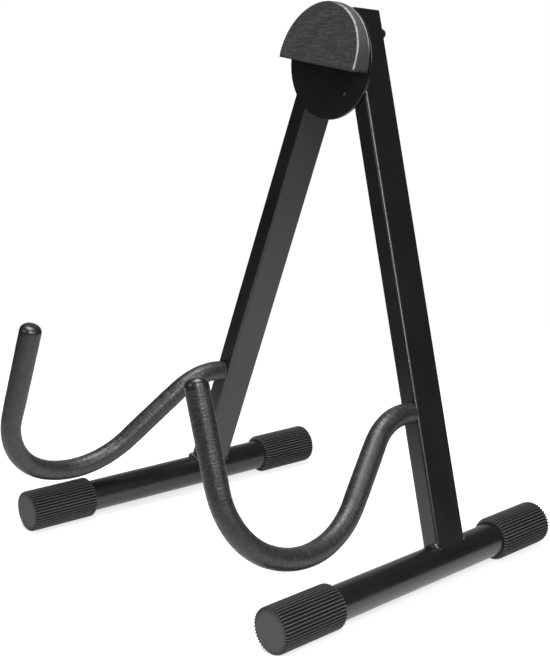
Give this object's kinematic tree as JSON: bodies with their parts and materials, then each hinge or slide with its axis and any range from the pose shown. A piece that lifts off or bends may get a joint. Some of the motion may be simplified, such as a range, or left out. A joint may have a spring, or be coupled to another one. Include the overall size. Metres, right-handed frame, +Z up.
{
  "type": "folding instrument stand",
  "caption": "Folding A-frame instrument stand: two welded side frames with padded cradle arms and ribbed rubber feet hinge on a round head plate with a half-moon foam pad.",
  "frame": {"origin": "on the floor, in the middle of the open stand's footprint", "axes": "+Z up; +X the stand's right-hand side; the cradle arms reach towards -Y and the legs lean back towards +Y"},
  "size_m": [0.3244, 0.3222, 0.4136],
  "materials": {
    "black_steel": "black powder coat, semi-gloss",
    "black_hardware": "black oxide, semi-gloss",
    "foam": "matt charcoal closed-cell foam with a fine fibrous skin",
    "sleeve_foam": "soft black foam sleeve with a smooth satin skin",
    "rubber": "matt black moulded rubber",
    "tip_rubber": "smooth glossy black vinyl",
    "plug_plastic": "matt black moulded plastic",
    "zinc": "bright zinc plating",
    "nylon": "natural nylon"
  },
  "bodies": {
    "head": {"head_plate": "black_steel", "head_pad": "foam", "stop_pin": "zinc", "right_pivot_bolt": "zinc", "left_pivot_bolt": "zinc", "right_pivot_nut": "black_hardware", "left_pivot_nut": "black_hardware", "right_friction_washer": "nylon", "left_friction_washer": "nylon", "right_nut_washer": "zinc", "left_nut_washer": "zinc"},
    "right_frame": {"right_leg": "black_steel", "right_leg_plug": "plug_plastic", "right_pivot_bush": "zinc", "right_base_tube": "black_steel", "right_front_cap": "rubber", "right_rear_cap": "rubber", "right_arm_rod": "black_steel", "right_arm_sleeve": "sleeve_foam", "right_arm_tip": "tip_rubber"},
    "left_frame": {"left_leg": "black_steel", "left_leg_plug": "plug_plastic", "left_pivot_bush": "zinc", "left_base_tube": "black_steel", "left_front_cap": "rubber", "left_rear_cap": "rubber", "left_arm_rod": "black_steel", "left_arm_sleeve": "sleeve_foam", "left_arm_tip": "tip_rubber"}
  },
  "joints": [
    {"name": "right_leg_fold", "type": "hinge", "parent": "head", "child": "right_frame", "pos_m": [0.01489, 0.08013, 0.39076], "axis": [0, 0.9966, -0.0828], "range_deg": [0, 17.5]},
    {"name": "left_leg_fold", "type": "hinge", "parent": "head", "child": "left_frame", "pos_m": [-0.01489, 0.08013, 0.39076], "axis": [0, 0.9966, -0.0828], "range_deg": [-17.5, 0]}
  ]
}
